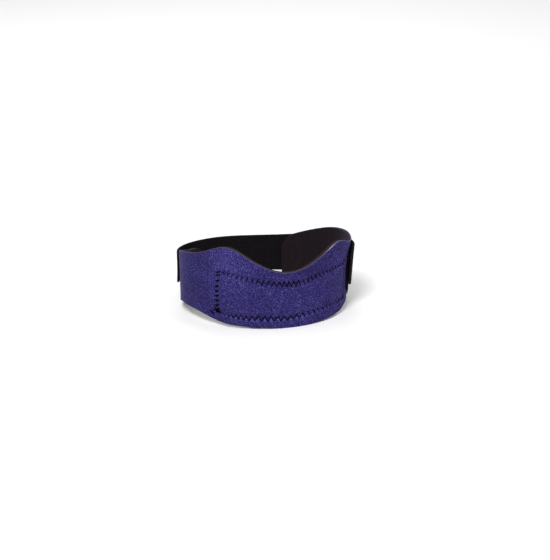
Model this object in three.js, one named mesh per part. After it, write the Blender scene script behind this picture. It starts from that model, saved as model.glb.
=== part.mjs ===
// Patella strap: a contoured neoprene band with a stitched-in pressure pad, closed round the back
// by a black strap that is sewn to one end of the band and grips the other with a hook tab.
// Millimetres. +Z is up, -Y is the front and +X is the side where the strap fastens. The strap
// stands on its lower edge, as a fastened loop does, with the origin under the middle of its box.
import * as THREE from 'three';
import { mergeVertices } from 'three/addons/utils/BufferGeometryUtils.js';

// Plan of the loop, measured to the outer face of the band
const LOOP_HALF_WIDTH = 52.6;
const LOOP_FRONT_DEPTH = 58;
const LOOP_BACK_DEPTH = 52;
// How far the fastened side flares outward at the full height of the band
const FASTENED_SIDE_FLARE = 7.5;

// Neoprene band. Its two ends stop short of each other at the back.
const BAND_END_GAP = 58;
const BAND_THICKNESS = 3.6;
const BAND_HEIGHT = 51;
const BAND_END_RADIUS = 8;
const EDGE_ROUNDING = 0.6;

// Stitched outline on the band's front, with how far it reaches to each side of the middle
const OUTLINE_SEWN_REACH = 47.5;
const OUTLINE_FASTENED_REACH = 52;
const OUTLINE_FADE = 6;
const SEAM_DEPTH = 0.4;
const PAD_SWELL = 0.8;

// Pressure pad behind the stitched outline, smaller than it by a margin all round
const PAD_SEAM_MARGIN = 1.6;
const PAD_THICKNESS = 5;
const PAD_EDGE_THICKNESS = 1.8;

// Closure strap, with how far it overlaps the band at its sewn end and at its fastened end
const STRAP_THICKNESS = 1.2;
const STRAP_SEWN_OVERLAP = 36;
const STRAP_FASTENED_OVERLAP = 84.5;
const STRAP_FREE_END_RADIUS = 7;
const STRAP_SEWN_END_RADIUS = 3;
const STRAP_LOWER_CURL = 0.5;
const STRAP_CROWN_ON_HOOK = 0.6;

// Hook tab between the strap's free end and the band, set back a little from that end
const HOOK_THICKNESS = 1.1;
const HOOK_LENGTH = 46;
const HOOK_HEIGHT = 29.5;
const HOOK_LOWER_MARGIN = 2;
const HOOK_UPPER_CORNER_RADIUS = 5;
const HOOK_LOWER_CORNER_RADIUS = 11;
const HOOK_SETBACK = 0.6;
const HOOK_RAMP_LENGTH = 16;

// Layers that touch keep this much between them
const LAYER_GAP = 0.3;

// Outline of the band, a row for each section from the sewn side to the fastened side. `along` is a
// share of half the band's length from its middle, and the heights are shares of BAND_HEIGHT.
const BAND_SECTIONS = [
  { along: -1.00, top: 0.600, bottom: 0.000 },
  { along: -0.86, top: 0.640, bottom: 0.000 },
  { along: -0.74, top: 0.718, bottom: 0.080 },
  { along: -0.65, top: 0.790, bottom: 0.135 },
  { along: -0.56, top: 0.819, bottom: 0.141 },
  { along: -0.49, top: 0.852, bottom: 0.137 },
  { along: -0.43, top: 0.898, bottom: 0.115 },
  { along: -0.37, top: 0.955, bottom: 0.081 },
  { along: -0.33, top: 0.989, bottom: 0.055 },
  { along: -0.29, top: 1.000, bottom: 0.037 },
  { along: -0.25, top: 0.978, bottom: 0.029 },
  { along: -0.21, top: 0.922, bottom: 0.023 },
  { along: -0.17, top: 0.856, bottom: 0.014 },
  { along: -0.12, top: 0.782, bottom: 0.010 },
  { along: -0.06, top: 0.714, bottom: 0.000 },
  { along: 0.00, top: 0.692, bottom: 0.000 },
  { along: 0.06, top: 0.713, bottom: 0.000 },
  { along: 0.12, top: 0.770, bottom: 0.006 },
  { along: 0.17, top: 0.831, bottom: 0.013 },
  { along: 0.21, top: 0.888, bottom: 0.018 },
  { along: 0.25, top: 0.940, bottom: 0.026 },
  { along: 0.28, top: 0.957, bottom: 0.036 },
  { along: 0.32, top: 0.940, bottom: 0.045 },
  { along: 0.36, top: 0.900, bottom: 0.071 },
  { along: 0.41, top: 0.868, bottom: 0.088 },
  { along: 0.50, top: 0.843, bottom: 0.106 },
  { along: 0.62, top: 0.849, bottom: 0.118 },
  { along: 0.74, top: 0.820, bottom: 0.088 },
  { along: 0.86, top: 0.740, bottom: 0.000 },
  { along: 1.00, top: 0.620, bottom: 0.000 },
];

// Seams that run along the stitched outline. The heights are shares of the way from the band's
// lower edge to its upper one.
const SEAM_SECTIONS = [
  { along: -0.33, upper: 0.686, lower: 0.128 },
  { along: -0.29, upper: 0.661, lower: 0.122 },
  { along: -0.25, upper: 0.654, lower: 0.121 },
  { along: -0.21, upper: 0.668, lower: 0.125 },
  { along: -0.17, upper: 0.697, lower: 0.138 },
  { along: -0.12, upper: 0.728, lower: 0.151 },
  { along: -0.06, upper: 0.767, lower: 0.168 },
  { along: 0.00, upper: 0.771, lower: 0.178 },
  { along: 0.06, upper: 0.762, lower: 0.192 },
  { along: 0.12, upper: 0.745, lower: 0.190 },
  { along: 0.17, upper: 0.715, lower: 0.182 },
  { along: 0.21, upper: 0.680, lower: 0.175 },
  { along: 0.25, upper: 0.646, lower: 0.161 },
  { along: 0.28, upper: 0.639, lower: 0.153 },
  { along: 0.32, upper: 0.653, lower: 0.149 },
  { along: 0.36, upper: 0.685, lower: 0.134 },
];

// Course of the closure strap from its free end round the back to its sewn end. `along` is a share
// of its length, and the heights are shares of BAND_HEIGHT.
const STRAP_SECTIONS = [
  { along: 0.00, top: 0.780, bottom: 0.295 },
  { along: 0.25, top: 0.735, bottom: 0.210 },
  { along: 0.50, top: 0.640, bottom: 0.175 },
  { along: 0.75, top: 0.672, bottom: 0.225 },
  { along: 1.00, top: 0.724, bottom: 0.298 },
];

// Smooth value of one column of a table at a place along it
function tableValue(rows, column, along) {
  const last = rows.length - 1;
  let i = 0;
  while (i < last - 1 && along > rows[i + 1].along) i += 1;
  const slope = (a, b) => (rows[b][column] - rows[a][column]) / (rows[b].along - rows[a].along);
  const span = rows[i + 1].along - rows[i].along;
  const share = THREE.MathUtils.clamp((along - rows[i].along) / span, 0, 1);
  const startSlope = slope(Math.max(i - 1, 0), i + 1) * span;
  const endSlope = slope(i, Math.min(i + 2, last)) * span;
  const square = share * share;
  const cube = square * share;
  return (
    rows[i][column] * (2 * cube - 3 * square + 1) +
    startSlope * (cube - 2 * square + share) +
    rows[i + 1][column] * (3 * square - 2 * cube) +
    endSlope * (cube - square)
  );
}

// Plan curve: a half ellipse in front and another behind, walked by its length from the front
const PLAN_STEPS = 720;
const planAt = (turn) =>
  new THREE.Vector2(
    LOOP_HALF_WIDTH * Math.sin(turn),
    -Math.cos(turn) * (Math.cos(turn) > 0 ? LOOP_FRONT_DEPTH : LOOP_BACK_DEPTH),
  );
const planLengths = [0];
for (let i = 1; i <= PLAN_STEPS; i += 1) {
  const before = planAt((2 * Math.PI * (i - 1)) / PLAN_STEPS);
  const here = planAt((2 * Math.PI * i) / PLAN_STEPS);
  planLengths.push(planLengths[i - 1] + before.distanceTo(here));
}
const LOOP_LENGTH = planLengths[PLAN_STEPS];

// Places along the loop, measured on the band's outer face from the middle of the front
const BAND_LENGTH = LOOP_LENGTH - BAND_END_GAP;
const HALF_BAND = BAND_LENGTH / 2;
const STRAP_START = HALF_BAND - STRAP_FASTENED_OVERLAP;
const STRAP_LENGTH = BAND_END_GAP + STRAP_FASTENED_OVERLAP + STRAP_SEWN_OVERLAP;
const HOOK_START = STRAP_START + HOOK_SETBACK;

function turnAt(length) {
  const wrapped = THREE.MathUtils.euclideanModulo(length, LOOP_LENGTH);
  let low = 0;
  let high = PLAN_STEPS;
  while (high - low > 1) {
    const middle = (low + high) >> 1;
    if (planLengths[middle] <= wrapped) low = middle;
    else high = middle;
  }
  const share = (wrapped - planLengths[low]) / (planLengths[high] - planLengths[low]);
  return (2 * Math.PI * (low + share)) / PLAN_STEPS;
}

// Point at a length round the loop, a distance outside the band's outer face and a height
function loopPoint(length, outward, height) {
  const turn = turnAt(length);
  const depth = Math.cos(turn) > 0 ? LOOP_FRONT_DEPTH : LOOP_BACK_DEPTH;
  const normal = new THREE.Vector2(
    depth * Math.sin(turn),
    -LOOP_HALF_WIDTH * Math.cos(turn),
  ).normalize();
  const side = Math.max(0, Math.sin(turn)) ** 2;
  const flare = FASTENED_SIDE_FLARE * side * (height / BAND_HEIGHT) ** 3;
  const foot = planAt(turn).addScaledVector(normal, outward + flare);
  return new THREE.Vector3(foot.x, foot.y, height);
}

// How far a rounded corner takes the outline in, at a distance from the end
function cornerInset(distance, radius) {
  const missing = Math.max(0, radius - distance);
  return radius - Math.sqrt(radius * radius - missing * missing);
}

// Stations along a strip, closer together at its two rounded ends
function stripStation(share, length, radius, steps) {
  const cornerSteps = 4;
  const index = Math.round(share * steps);
  const cornerPlace = (k) => radius * (1 - Math.cos((Math.PI / 2) * (k / cornerSteps)));
  if (index <= cornerSteps) return cornerPlace(index);
  if (index >= steps - cornerSteps) return length - cornerPlace(steps - index);
  const middleShare = (index - cornerSteps) / (steps - 2 * cornerSteps);
  return radius + middleShare * (length - 2 * radius);
}

// A box with its vertices moved: place(alongShare, upShare, outwardShare) gives each one's point
function bentBox(columns, rows, layers, place) {
  const geometry = new THREE.BoxGeometry(1, 1, 1, columns, rows, layers);
  const position = geometry.attributes.position;
  for (let i = 0; i < position.count; i += 1) {
    const point = place(position.getX(i) + 0.5, position.getY(i) + 0.5, position.getZ(i) + 0.5);
    position.setXYZ(i, point.x, point.y, point.z);
  }
  geometry.deleteAttribute('normal');
  geometry.deleteAttribute('uv');
  const merged = mergeVertices(geometry, 1e-4);
  merged.computeVertexNormals();
  return merged;
}

// Heights of the band's edges and seams at a place along it
const edgeHeight = (edge, place) =>
  BAND_HEIGHT * Math.max(0, tableValue(BAND_SECTIONS, edge, place / HALF_BAND));
const bandHeight = {
  top: (place) => edgeHeight('top', place),
  bottom: (place) => edgeHeight('bottom', place),
  upperSeam: (place) => seamHeight('upper', place),
  lowerSeam: (place) => seamHeight('lower', place),
};

function seamHeight(seam, place) {
  const share = tableValue(SEAM_SECTIONS, seam, place / HALF_BAND);
  return THREE.MathUtils.lerp(edgeHeight('bottom', place), edgeHeight('top', place), share);
}

// How much of the stitched relief shows at a place: all of it inside the outline, none outside
function outlineShare(place) {
  const reach = place < 0 ? OUTLINE_SEWN_REACH : OUTLINE_FASTENED_REACH;
  return 1 - THREE.MathUtils.smoothstep(Math.abs(place), reach - OUTLINE_FADE, reach);
}

// Band rows from the lower edge to the upper one. Between the seams the face swells over the pad,
// and at a seam it is drawn in.
const BAND_ROWS = [
  { from: 'bottom', to: 'bottom', share: 0, rounding: 1, swell: 0, seam: 0 },
  { from: 'bottom', to: 'lowerSeam', share: 0.15, rounding: 0, swell: 0, seam: 0 },
  { from: 'bottom', to: 'lowerSeam', share: 0.75, rounding: 0, swell: 0, seam: 0 },
  { from: 'lowerSeam', to: 'lowerSeam', share: 0, rounding: 0, swell: 0, seam: 1 },
  { from: 'lowerSeam', to: 'upperSeam', share: 0.2, rounding: 0, swell: 0.75, seam: 0 },
  { from: 'lowerSeam', to: 'upperSeam', share: 0.5, rounding: 0, swell: 1, seam: 0 },
  { from: 'lowerSeam', to: 'upperSeam', share: 0.8, rounding: 0, swell: 0.75, seam: 0 },
  { from: 'upperSeam', to: 'upperSeam', share: 0, rounding: 0, swell: 0, seam: 1 },
  { from: 'upperSeam', to: 'top', share: 0.2, rounding: 0, swell: 0, seam: 0 },
  { from: 'upperSeam', to: 'top', share: 0.92, rounding: 0, swell: 0, seam: 0 },
  { from: 'top', to: 'top', share: 0, rounding: 1, swell: 0, seam: 0 },
];

function neopreneBand() {
  const columns = 84;
  const rows = BAND_ROWS.length - 1;
  return bentBox(columns, rows, 1, (alongShare, upShare, outwardShare) => {
    const fromEnd = stripStation(alongShare, BAND_LENGTH, BAND_END_RADIUS, columns);
    const place = fromEnd - HALF_BAND;
    const row = BAND_ROWS[Math.round(upShare * rows)];
    const inset = cornerInset(Math.min(fromEnd, BAND_LENGTH - fromEnd), BAND_END_RADIUS);
    const rowHeight = THREE.MathUtils.lerp(
      bandHeight[row.from](place),
      bandHeight[row.to](place),
      row.share,
    );
    const height = THREE.MathUtils.clamp(
      rowHeight,
      bandHeight.bottom(place) + inset,
      bandHeight.top(place) - inset,
    );
    const relief = outlineShare(place) * (PAD_SWELL * row.swell - SEAM_DEPTH * row.seam);
    const outward =
      outwardShare > 0.5
        ? relief - EDGE_ROUNDING * row.rounding
        : EDGE_ROUNDING * row.rounding - BAND_THICKNESS;
    return loopPoint(place, outward, height);
  });
}

function pressurePad() {
  const columns = 30;
  const rows = 8;
  const length = OUTLINE_SEWN_REACH + OUTLINE_FASTENED_REACH - 2 * PAD_SEAM_MARGIN;
  const endRadius = (bandHeight.upperSeam(0) - bandHeight.lowerSeam(0)) / 4;
  return bentBox(columns, rows, 1, (alongShare, upShare, outwardShare) => {
    const fromEnd = stripStation(alongShare, length, endRadius, columns);
    const place = fromEnd + PAD_SEAM_MARGIN - OUTLINE_SEWN_REACH;
    const nearEnd = Math.min(fromEnd, length - fromEnd);
    const inset = PAD_SEAM_MARGIN + cornerInset(nearEnd, endRadius);
    const height = THREE.MathUtils.lerp(
      bandHeight.lowerSeam(place) + inset,
      bandHeight.upperSeam(place) - inset,
      upShare,
    );
    const crown = Math.sin(Math.PI * upShare) ** 0.6;
    const taper = Math.min(1, nearEnd / (length / 4)) ** 0.6;
    const thickness = PAD_EDGE_THICKNESS + (PAD_THICKNESS - PAD_EDGE_THICKNESS) * crown * taper;
    const face = -BAND_THICKNESS - LAYER_GAP;
    return loopPoint(place, outwardShare > 0.5 ? face : face - thickness, height);
  });
}

// How much of the hook tab's thickness the strap has climbed at a length round the loop
function shareOnHook(length) {
  const hookEnd = HOOK_START + HOOK_LENGTH;
  return 1 - THREE.MathUtils.smoothstep(length, hookEnd, hookEnd + HOOK_RAMP_LENGTH);
}

function closureStrap() {
  const columns = 56;
  const rows = 6;
  return bentBox(columns, rows, 1, (alongShare, upShare, outwardShare) => {
    const fromEnd = stripStation(alongShare, STRAP_LENGTH, STRAP_FREE_END_RADIUS, columns);
    const share = fromEnd / STRAP_LENGTH;
    const inset =
      cornerInset(fromEnd, STRAP_FREE_END_RADIUS) +
      cornerInset(STRAP_LENGTH - fromEnd, STRAP_SEWN_END_RADIUS);
    const height = THREE.MathUtils.lerp(
      BAND_HEIGHT * tableValue(STRAP_SECTIONS, 'bottom', share) + inset,
      BAND_HEIGHT * tableValue(STRAP_SECTIONS, 'top', share) - inset,
      upShare,
    );
    const onHook = shareOnHook(STRAP_START + fromEnd);
    const crown = STRAP_CROWN_ON_HOOK * onHook * (1 - (2 * upShare - 1) ** 2);
    const curl = STRAP_LOWER_CURL * (1 - onHook) * (1 - upShare) ** 4;
    const seat = LAYER_GAP + onHook * (HOOK_THICKNESS + LAYER_GAP);
    const outward = seat + crown + curl + outwardShare * STRAP_THICKNESS;
    return loopPoint(STRAP_START + fromEnd, outward, height);
  });
}

function hookTab() {
  const columns = 20;
  const rows = 3;
  const upperRadius = Math.min(HOOK_UPPER_CORNER_RADIUS, 0.45 * HOOK_HEIGHT);
  const lowerRadius = Math.min(HOOK_LOWER_CORNER_RADIUS, 0.45 * HOOK_HEIGHT);
  return bentBox(columns, rows, 1, (alongShare, upShare, outwardShare) => {
    const fromEnd = stripStation(alongShare, HOOK_LENGTH, lowerRadius, columns);
    const place = HOOK_START + fromEnd;
    const nearEnd = Math.min(fromEnd, HOOK_LENGTH - fromEnd);
    const foot = bandHeight.bottom(place) + HOOK_LOWER_MARGIN;
    const height = THREE.MathUtils.lerp(
      foot + cornerInset(nearEnd, lowerRadius),
      foot + HOOK_HEIGHT - cornerInset(nearEnd, upperRadius),
      upShare,
    );
    const outward = LAYER_GAP + outwardShare * HOOK_THICKNESS;
    return loopPoint(place, outward, height);
  });
}

function piece(name, geometry, color, roughness) {
  const material = new THREE.MeshStandardMaterial({ color, roughness, metalness: 0 });
  const mesh = new THREE.Mesh(geometry, material);
  mesh.name = name;
  return mesh;
}

const strap = new THREE.Group();
strap.add(
  piece('neoprene_band', neopreneBand(), 0x38316b, 0.95),
  piece('pressure_pad', pressurePad(), 0x2b282b, 0.9),
  piece('closure_strap', closureStrap(), 0x0c0b0d, 0.8),
  piece('hook_tab', hookTab(), 0x151214, 0.7),
);

// The loop is set down with its lower edge at height 0 and its box centred on the origin
const box = new THREE.Box3().setFromObject(strap);
strap.position.set(-(box.min.x + box.max.x) / 2, -(box.min.y + box.max.y) / 2, -box.min.z);
strap.updateMatrixWorld(true);

export default strap;
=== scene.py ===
"""Patella strap: a contoured neoprene band with a stitched-in pad, closed by a black strap.

Shapes are worked out in millimetres along the loop, as (length round it, distance outside the band's
outer face, height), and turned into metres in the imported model's frame when a mesh is made.
"""
from collections import namedtuple
from math import cos, pi, sin

import bpy
import numpy as np
from mathutils import Matrix, Vector


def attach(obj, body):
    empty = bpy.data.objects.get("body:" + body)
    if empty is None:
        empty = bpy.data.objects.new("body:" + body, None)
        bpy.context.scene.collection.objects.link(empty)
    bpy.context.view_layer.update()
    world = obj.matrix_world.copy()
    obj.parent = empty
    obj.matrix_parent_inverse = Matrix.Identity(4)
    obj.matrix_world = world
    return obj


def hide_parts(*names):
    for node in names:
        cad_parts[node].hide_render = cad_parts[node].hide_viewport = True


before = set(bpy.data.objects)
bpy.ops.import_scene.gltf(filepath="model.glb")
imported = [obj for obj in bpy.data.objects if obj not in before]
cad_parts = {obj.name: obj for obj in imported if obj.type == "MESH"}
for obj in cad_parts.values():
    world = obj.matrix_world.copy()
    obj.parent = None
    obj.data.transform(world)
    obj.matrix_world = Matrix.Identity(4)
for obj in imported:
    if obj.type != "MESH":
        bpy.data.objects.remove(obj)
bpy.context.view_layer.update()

# Sizes of the strap, in millimetres. MODEL_SHIFT takes the loop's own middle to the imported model's
# origin, and BAND_HEIGHT and the shares in the tables give every height.
LOOP_HALF_WIDTH = 52.6
LOOP_FRONT_DEPTH = 58.0
LOOP_BACK_DEPTH = 52.0
FASTENED_SIDE_FLARE = 7.5
MODEL_SHIFT = np.array([-3.0469, 2.4003, 0.0])
BAND_END_GAP = 58.0
BAND_THICKNESS = 3.6
BAND_HEIGHT = 51.0
BAND_END_RADIUS = 8.0
OUTLINE_SEWN_REACH = 47.5
OUTLINE_FASTENED_REACH = 52.0
SEAM_DEPTH = 0.4
PAD_SWELL = 0.8
PAD_SEAM_MARGIN = 1.6
PAD_THICKNESS = 5.0
PAD_EDGE_THICKNESS = 1.8
STRAP_THICKNESS = 1.2
STRAP_SEWN_OVERLAP = 36.0
STRAP_FASTENED_OVERLAP = 84.5
STRAP_FREE_END_RADIUS = 7.0
STRAP_SEWN_END_RADIUS = 3.0
STRAP_LOWER_CURL = 0.5
STRAP_CROWN_ON_HOOK = 0.6
HOOK_THICKNESS = 1.1
HOOK_LENGTH = 46.0
HOOK_HEIGHT = 29.5
HOOK_LOWER_MARGIN = 2.0
HOOK_UPPER_CORNER_RADIUS = 5.0
HOOK_LOWER_CORNER_RADIUS = 11.0
HOOK_SETBACK = 0.6
HOOK_RAMP_LENGTH = 16.0
LAYER_GAP = 0.3
# Millimetres in one unit of the "course" maps
COURSE_UNIT = 100

# Layers of the band, as depths below its outer face
FABRIC_THICKNESS = 0.75
CORE_START = 0.82
CORE_END = 2.88
LINING_START = 2.95
CORE_SETBACK = 0.12
FABRIC_ROUNDING = 0.3

# Place along half the band, then the upper and the lower edge as shares of the band's height
BAND_SECTIONS = [
    (-1.00, 0.600, 0.000), (-0.86, 0.640, 0.000), (-0.74, 0.718, 0.080), (-0.65, 0.790, 0.135),
    (-0.56, 0.819, 0.141), (-0.49, 0.852, 0.137), (-0.43, 0.898, 0.115), (-0.37, 0.955, 0.081),
    (-0.33, 0.989, 0.055), (-0.29, 1.000, 0.037), (-0.25, 0.978, 0.029), (-0.21, 0.922, 0.023),
    (-0.17, 0.856, 0.014), (-0.12, 0.782, 0.010), (-0.06, 0.714, 0.000), (0.00, 0.692, 0.000),
    (0.06, 0.713, 0.000), (0.12, 0.770, 0.006), (0.17, 0.831, 0.013), (0.21, 0.888, 0.018),
    (0.25, 0.940, 0.026), (0.28, 0.957, 0.036), (0.32, 0.940, 0.045), (0.36, 0.900, 0.071),
    (0.41, 0.868, 0.088), (0.50, 0.843, 0.106), (0.62, 0.849, 0.118), (0.74, 0.820, 0.088),
    (0.86, 0.740, 0.000), (1.00, 0.620, 0.000),
]
# Place along half the band, then the upper and the lower seam as shares of the way up the band
SEAM_SECTIONS = [
    (-0.33, 0.686, 0.128), (-0.29, 0.661, 0.122), (-0.25, 0.654, 0.121), (-0.21, 0.668, 0.125),
    (-0.17, 0.697, 0.138), (-0.12, 0.728, 0.151), (-0.06, 0.767, 0.168), (0.00, 0.771, 0.178),
    (0.06, 0.762, 0.192), (0.12, 0.745, 0.190), (0.17, 0.715, 0.182), (0.21, 0.680, 0.175),
    (0.25, 0.646, 0.161), (0.28, 0.639, 0.153), (0.32, 0.653, 0.149), (0.36, 0.685, 0.134),
]
# Place along the strap from its free end, then its upper and lower edge
STRAP_SECTIONS = [
    (0.00, 0.780, 0.295), (0.25, 0.735, 0.210), (0.50, 0.640, 0.175), (0.75, 0.672, 0.225),
    (1.00, 0.724, 0.298),
]
# Columns of the two edges or the two seams in these tables
UPPER, LOWER = 1, 2


def table_value(rows, column, along):
    """Smooth value of one column of a table at places along it."""
    x = np.array([row[0] for row in rows])
    v = np.array([row[column] for row in rows])
    last = len(x) - 1
    i = np.clip(np.searchsorted(x, along, side="left") - 1, 0, last - 1)
    before, after = np.maximum(i - 1, 0), np.minimum(i + 2, last)
    span = x[i + 1] - x[i]
    t = np.clip((along - x[i]) / span, 0, 1)
    start = (v[i + 1] - v[before]) / (x[i + 1] - x[before]) * span
    end = (v[after] - v[i]) / (x[after] - x[i]) * span
    t2, t3 = t * t, t * t * t
    return (v[i] * (2 * t3 - 3 * t2 + 1) + start * (t3 - 2 * t2 + t)
            + v[i + 1] * (3 * t2 - 2 * t3) + end * (t3 - t2))


def smoothstep(x, low, high):
    t = np.clip((x - low) / (high - low), 0, 1)
    return t * t * (3 - 2 * t)


# Plan curve of the loop, walked by its length from the middle of the front
PLAN_STEPS = 720
PLAN_TURNS = np.linspace(0, 2 * pi, PLAN_STEPS + 1)


def plan_depth(turn):
    return np.where(np.cos(turn) > 0, LOOP_FRONT_DEPTH, LOOP_BACK_DEPTH)


def plan_at(turn):
    return np.stack([LOOP_HALF_WIDTH * np.sin(turn), -np.cos(turn) * plan_depth(turn)], -1)


PLAN_LENGTHS = np.concatenate(
    [[0.0], np.cumsum(np.linalg.norm(np.diff(plan_at(PLAN_TURNS), axis=0), axis=1))])
LOOP_LENGTH = PLAN_LENGTHS[-1]
HALF_BAND = (LOOP_LENGTH - BAND_END_GAP) / 2
STRAP_START = HALF_BAND - STRAP_FASTENED_OVERLAP
STRAP_LENGTH = BAND_END_GAP + STRAP_FASTENED_OVERLAP + STRAP_SEWN_OVERLAP
HOOK_START = STRAP_START + HOOK_SETBACK


def turn_at(length):
    return np.interp(np.mod(length, LOOP_LENGTH), PLAN_LENGTHS, PLAN_TURNS)


def outward_direction(length):
    """Level direction that points out of the loop at a length round it."""
    turn = turn_at(length)
    normal = np.stack([plan_depth(turn) * np.sin(turn), -LOOP_HALF_WIDTH * np.cos(turn)], -1)
    normal /= np.linalg.norm(normal, axis=-1, keepdims=True)
    return np.concatenate([normal, np.zeros_like(normal[..., :1])], -1)


def loop_point(length, outward, height):
    """Point in millimetres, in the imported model's frame."""
    length, outward, height = np.broadcast_arrays(length, outward, height)
    turn = turn_at(length)
    side = np.maximum(0, np.sin(turn)) ** 2
    flare = FASTENED_SIDE_FLARE * side * (height / BAND_HEIGHT) ** 3
    foot = np.concatenate([plan_at(turn), height[..., None]], -1)
    return foot + outward_direction(length) * (outward + flare)[..., None] + MODEL_SHIFT


def corner_inset(distance, radius):
    missing = np.maximum(0, radius - distance)
    return radius - np.sqrt(np.maximum(0, radius * radius - missing * missing))


def band_edge(column, length):
    return BAND_HEIGHT * np.maximum(0, table_value(BAND_SECTIONS, column, length / HALF_BAND))


def seam_height(column, length):
    share = table_value(SEAM_SECTIONS, column, length / HALF_BAND)
    low, high = band_edge(LOWER, length), band_edge(UPPER, length)
    return low + (high - low) * share


def lattice_noise(x, y, cell, seed):
    """Smooth noise from -1 to 1, with features about one cell across."""
    size = 256
    values = np.random.RandomState(seed).uniform(-1, 1, (size, size))
    x, y = np.asarray(x) / cell, np.asarray(y) / cell
    x0, y0 = np.floor(x).astype(int), np.floor(y).astype(int)
    tx, ty = x - x0, y - y0
    tx, ty = tx * tx * (3 - 2 * tx), ty * ty * (3 - 2 * ty)
    i, j, i1, j1 = x0 % size, y0 % size, (x0 + 1) % size, (y0 + 1) % size
    low = values[i, j] * (1 - tx) + values[i1, j] * tx
    high = values[i, j1] * (1 - tx) + values[i1, j1] * tx
    return low * (1 - ty) + high * ty


# Stitches. A leg is (length, height) at each of its two ends, its thread's radius and how far the
# middle of the leg stands out of the face that it lies on.
Leg = namedtuple("Leg", "s0 h0 s1 h1 radius rise")
LOWER_THREAD_RADIUS = 0.3
TACK_THREAD_RADIUS = 0.27
THREAD_SINK = 0.55
UNEVEN_PLACE = 0.12
UNEVEN_TILT = 0.12
UNEVEN_RISE = 0.08
THREAD_THINNING = 0.25
THINNING_START = 12
THINNING_END = 28
SEWN_SEAM_PLACE = [
    (9.0, -47.9), (13.3, -48.2), (19.0, -48.2), (25.4, -48.1), (29.1, -47.3), (32.8, -46.8),
    (35.0, -46.9),
]
FASTENED_SEAM_PLACE = 50.6


def sewn_seam_place(height):
    heights, places = zip(*SEWN_SEAM_PLACE)
    return np.interp(height, heights, places)


def zigzag(column, pitches, reaches, shows, start, end, thread, seed):
    """Legs of a zigzag seam. thread is its thread's radius, less towards the fastened side. The
    tables are (place, pitch), (place, how far it reaches below the seam's height, and above) and
    (place, how far its rising legs stand out, and its falling ones)."""
    rng = np.random.RandomState(seed)
    pitch_at, pitch = zip(*pitches)
    reach_at, below, above = zip(*reaches)
    show_at, rising, falling = zip(*shows)
    lows = [start]
    while lows[-1] < end:
        lows.append(lows[-1] + np.interp(lows[-1], pitch_at, pitch))
    lows = np.array(lows)
    tops = (lows[:-1] + lows[1:]) / 2
    lows += rng.normal(0, UNEVEN_PLACE, len(lows))
    tops += rng.normal(0, UNEVEN_PLACE, len(tops))
    uneven = rng.uniform(0.86, 1.14, (2, len(lows)))
    low_height = seam_height(column, lows) - np.interp(lows, reach_at, below) * uneven[0]
    top_height = seam_height(column, tops) + np.interp(tops, reach_at, above) * uneven[1, :-1]
    legs = []
    for k in range(len(tops)):
        up = np.interp(tops[k], show_at, rising) + rng.normal(0, UNEVEN_RISE)
        down = np.interp(tops[k], show_at, falling) + rng.normal(0, UNEVEN_RISE)
        thinning = THREAD_THINNING * smoothstep(tops[k], THINNING_START, THINNING_END)
        radius = thread * (1 - thinning)
        legs.append(Leg(lows[k], low_height[k], tops[k], top_height[k], radius, up))
        legs.append(Leg(tops[k], top_height[k], lows[k + 1], low_height[k + 1], radius, down))
    return legs


def satin(places, width, slope, strands, radius, rise, seed, spread=0.42):
    """Short level groups of strands, one group at each (length, height) of places."""
    rng = np.random.RandomState(seed)
    legs = []
    for length, height in places:
        for k in range(strands):
            shift = (k - (strands - 1) / 2) * spread
            tilt = slope + rng.normal(0, UNEVEN_TILT)
            half = width / 2 * rng.uniform(0.85, 1.1)
            middle = length + rng.normal(0, UNEVEN_PLACE)
            legs.append(Leg(middle - half, height + shift - tilt * half,
                            middle + half, height + shift + tilt * half, radius, rise))
    return legs


# Tables of the two zigzag seams, in millimetres. A leg with a negative rise is sunk in the nap.
UPPER_PITCHES = [(-46, 3.2), (-20, 3.25), (10, 3.05), (50, 3.3)]
LOWER_PITCHES = [(-46, 3.15), (-36, 3.3), (-26, 3.8), (-14, 4.15), (0, 4.1), (8, 3.8), (50, 3.6)]
UPPER_REACHES = [
    (-44, 0.9, 1.1), (-34, 1.2, 1.4), (-24, 1.3, 1.8), (-14, 1.4, 2.3), (10, 1.4, 2.4),
    (18, 1.3, 1.9), (28, 1.2, 1.4), (50, 1.1, 1.3),
]
LOWER_REACHES = [
    (-46, 0.9, 1.0), (-38, 1.2, 1.2), (-30, 1.5, 1.7), (6, 1.5, 1.7), (16, 1.3, 1.4),
    (28, 1.1, 1.2), (50, 1.0, 1.0),
]
UPPER_SHOWS = [
    (-46, 0.30, -0.40), (-34, 0.40, -0.35), (-24, 0.45, -0.25), (-14, 0.45, 0.00), (-6, 0.45, 0.35),
    (2, 0.25, 0.45), (9, -0.20, 0.45), (18, -0.35, 0.45), (30, -0.45, 0.42), (50, -0.50, 0.35),
]
LOWER_SHOWS = [
    (-46, 0.05, 0.40), (-38, 0.10, 0.45), (-30, 0.40, 0.45), (2, 0.42, 0.45), (9, -0.15, 0.45),
    (24, -0.40, 0.42), (50, -0.45, 0.35),
]
upper_legs = zigzag(UPPER, UPPER_PITCHES, UPPER_REACHES, UPPER_SHOWS,
                    start=-43.6, end=48.0, thread=0.26, seed=3)
lower_legs = zigzag(LOWER, LOWER_PITCHES, LOWER_REACHES, LOWER_SHOWS,
                    start=-46.0, end=49.5, thread=LOWER_THREAD_RADIUS, seed=5)
SEWN_SIDE_HEIGHTS = [34.8, 32.8, 29.1, 25.4, 22.3, 19.3, 16.3, 13.3]
sewn_side_legs = satin([(sewn_seam_place(h), h) for h in SEWN_SIDE_HEIGHTS],
                       width=3.2, slope=0.22, strands=2, radius=TACK_THREAD_RADIUS, rise=0.45, seed=7)
fastened_side_legs = satin([(FASTENED_SEAM_PLACE, h) for h in np.arange(9.5, 34.5, 3.0)],
                           width=2.3, slope=-0.2, strands=2, radius=0.24, rise=0.15, seed=9)
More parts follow.
